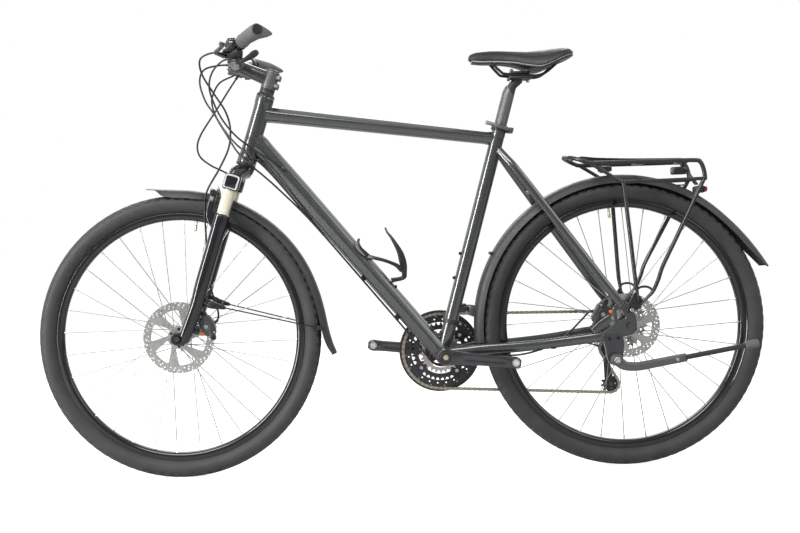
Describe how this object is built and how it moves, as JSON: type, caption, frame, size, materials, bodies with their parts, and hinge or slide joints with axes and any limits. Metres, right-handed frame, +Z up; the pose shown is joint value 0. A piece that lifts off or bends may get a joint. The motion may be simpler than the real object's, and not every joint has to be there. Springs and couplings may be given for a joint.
{
  "type": "trekking bicycle",
  "caption": "Trekking bicycle with suspension fork, disc brakes, mudguards, luggage rack, flat handlebar with wing grips and a folded rear kickstand.",
  "frame": {"origin": "on the ground, in the middle of the overall length and width", "axes": "+X towards the front wheel along the overall length, +Y to the rider's left, +Z up"},
  "size_m": [1.8634, 0.657, 1.0963],
  "materials": {
    "frame_paint": "glossy dark graphite paint on aluminium tube",
    "black_paint": "glossy black paint on aluminium or magnesium",
    "satin_black": "satin black anodised or coated",
    "champagne": "polished champagne legs under a black crown",
    "bare_alloy": "bare satin",
    "dark_alloy": "dark grey anodised",
    "steel": "brushed",
    "chain_steel": "oiled steel",
    "tyre_rubber": "matt",
    "grip_rubber": "matt, soft",
    "guard_plastic": "matt",
    "hose_plastic": "satin",
    "saddle_cover": "grained cover over foam",
    "red_lens": "clear red lens in a black housing"
  },
  "bodies": {
    "frame": {"head_tube": "frame_paint", "top_tube": "frame_paint", "down_tube": "frame_paint", "seat_tube": "frame_paint", "rear_stays_left": "frame_paint", "rear_stays_right": "frame_paint", "bottom_bracket_sleeve": "dark_alloy", "headset_top": "satin_black", "rear_axle": "dark_alloy", "rear_brake_caliper": "dark_alloy", "seat_clamp": "satin_black", "front_derailleur": "dark_alloy", "rear_derailleur": "dark_alloy", "chain": "chain_steel", "rear_mudguard": "guard_plastic", "luggage_rack": "satin_black", "rear_light": "red_lens", "bottle_cage": "satin_black", "rear_brake_hose": "hose_plastic", "front_shift_cable": "hose_plastic", "rear_shift_cable": "hose_plastic"},
    "seat": {"seat_post": "dark_alloy", "saddle_rails": "steel", "saddle": "saddle_cover"},
    "seat_lever": {"seat_clamp_lever": "satin_black"},
    "stand_leg": {"kickstand_leg": "dark_alloy"},
    "stand_foot": {"kickstand_foot": "dark_alloy"},
    "cage": {"derailleur_cage": "dark_alloy"},
    "guide_wheel": {"guide_pulley": "satin_black"},
    "tension_wheel": {"tension_pulley": "satin_black"},
    "crankset": {"crank_right": "dark_alloy", "crank_left": "dark_alloy", "large_chainring": "dark_alloy", "inner_chainrings": "dark_alloy"},
    "sprockets": {"cassette": "steel"},
    "rear_wheel": {"rear_tyre": "tyre_rubber", "rear_rim": "black_paint", "rear_hub": "bare_alloy", "rear_rotor": "steel"},
    "steering": {"fork_crown": "champagne", "stem": "satin_black", "handlebar": "satin_black", "grip_left": "grip_rubber", "grip_right": "grip_rubber", "control_left": "satin_black", "control_right": "satin_black", "lockout_cable": "hose_plastic", "front_brake_hose": "hose_plastic"},
    "left_brake": {"brake_lever_left": "dark_alloy"},
    "right_brake": {"brake_lever_right": "dark_alloy"},
    "left_shift": {"shift_lever_left": "satin_black"},
    "right_shift": {"shift_lever_right": "satin_black"},
    "fork_lower": {"fork_lowers": "black_paint", "front_mudguard": "guard_plastic", "front_brake_caliper": "dark_alloy", "front_axle": "dark_alloy"},
    "front_wheel": {"front_tyre": "tyre_rubber", "front_rim": "black_paint", "front_hub": "bare_alloy", "front_rotor": "steel"}
  },
  "joints": [
    {"name": "seat_slide", "type": "slide", "parent": "frame", "child": "seat", "axis": [-0.274, 0, 0.9617], "range_m": [-0.075, 0.06]},
    {"name": "seat_clamp_lever", "type": "hinge", "parent": "frame", "child": "seat_lever", "pos_m": [-0.28651, 0.013, 0.86055], "axis": [-0.274, 0, 0.9617], "range_deg": [0, 150]},
    {"name": "kickstand", "type": "hinge", "parent": "frame", "child": "stand_leg", "pos_m": [-0.51834, 0, 0.279], "axis": [0, -1, 0], "range_deg": [0, 50]},
    {"name": "kickstand_foot", "type": "slide", "parent": "stand_leg", "child": "stand_foot", "axis": [-0.9866, 0, 0.163], "range_m": [-0.01, 0.03]},
    {"name": "derailleur_cage", "type": "hinge", "parent": "frame", "child": "cage", "pos_m": [-0.53534, -0.059, 0.29], "axis": [0, 1, 0], "range_deg": [-30, 25], "stiffness_Nm_per_rad": 2, "deforming": ["chain"]},
    {"name": "guide_pulley_spin", "type": "hinge", "parent": "cage", "child": "guide_wheel", "pos_m": [-0.53534, -0.059, 0.29], "axis": [0, 1, 0], "continuous": true},
    {"name": "tension_pulley_spin", "type": "hinge", "parent": "cage", "child": "tension_wheel", "pos_m": [-0.53851, -0.059, 0.19705], "axis": [0, 1, 0], "continuous": true},
    {"name": "crank_spin", "type": "hinge", "parent": "frame", "child": "crankset", "pos_m": [-0.09644, 0, 0.2955], "axis": [0, 1, 0], "continuous": true},
    {"name": "cassette_spin", "type": "hinge", "parent": "frame", "child": "sprockets", "pos_m": [-0.55934, 0, 0.36], "axis": [0, 1, 0], "continuous": true},
    {"name": "rear_wheel_spin", "type": "hinge", "parent": "frame", "child": "rear_wheel", "pos_m": [-0.55934, 0, 0.36], "axis": [0, 1, 0], "continuous": true},
    {"name": "steering", "type": "hinge", "parent": "frame", "child": "steering", "pos_m": [0.53655, 0, 0.34866], "axis": [-0.3074, 0, 0.9516], "range_deg": [-60, 60], "deforming": ["rear_brake_hose", "front_shift_cable", "rear_shift_cable"]},
    {"name": "brake_lever_left", "type": "hinge", "parent": "steering", "child": "left_brake", "pos_m": [0.42273, 0.15, 1.05354], "axis": [0, 0, 1], "range_deg": [0, 15], "stiffness_Nm_per_rad": 4, "springref_deg": -2.86},
    {"name": "brake_lever_right", "type": "hinge", "parent": "steering", "child": "right_brake", "pos_m": [0.42273, -0.15, 1.05354], "axis": [0, 0, -1], "range_deg": [0, 15], "stiffness_Nm_per_rad": 4, "springref_deg": -2.86},
    {"name": "shift_lever_left", "type": "hinge", "parent": "steering", "child": "left_shift", "pos_m": [0.392, 0.15, 1.03204], "axis": [0, 0, -1], "range_deg": [0, 20], "stiffness_Nm_per_rad": 0.5, "springref_deg": -2.86},
    {"name": "shift_lever_right", "type": "hinge", "parent": "steering", "child": "right_shift", "pos_m": [0.392, -0.15, 1.03204], "axis": [0, 0, 1], "range_deg": [0, 20], "stiffness_Nm_per_rad": 0.5, "springref_deg": -2.86},
    {"name": "fork_travel", "type": "slide", "parent": "steering", "child": "fork_lower", "axis": [-0.3074, 0, 0.9516], "range_m": [0, 0.06], "stiffness_N_per_m": 8000, "springref_m": -0.01, "deforming": ["front_brake_hose"]},
    {"name": "front_wheel_spin", "type": "hinge", "parent": "fork_lower", "child": "front_wheel", "pos_m": [0.57166, 0, 0.36], "axis": [0, 1, 0], "continuous": true}
  ],
  "couplings": [
    {"joint": "cassette_spin", "follows": "crank_spin", "ratio": 3.6923},
    {"joint": "guide_pulley_spin", "follows": "crank_spin", "ratio": -4.3636},
    {"joint": "tension_pulley_spin", "follows": "crank_spin", "ratio": 4.3636}
  ]
}
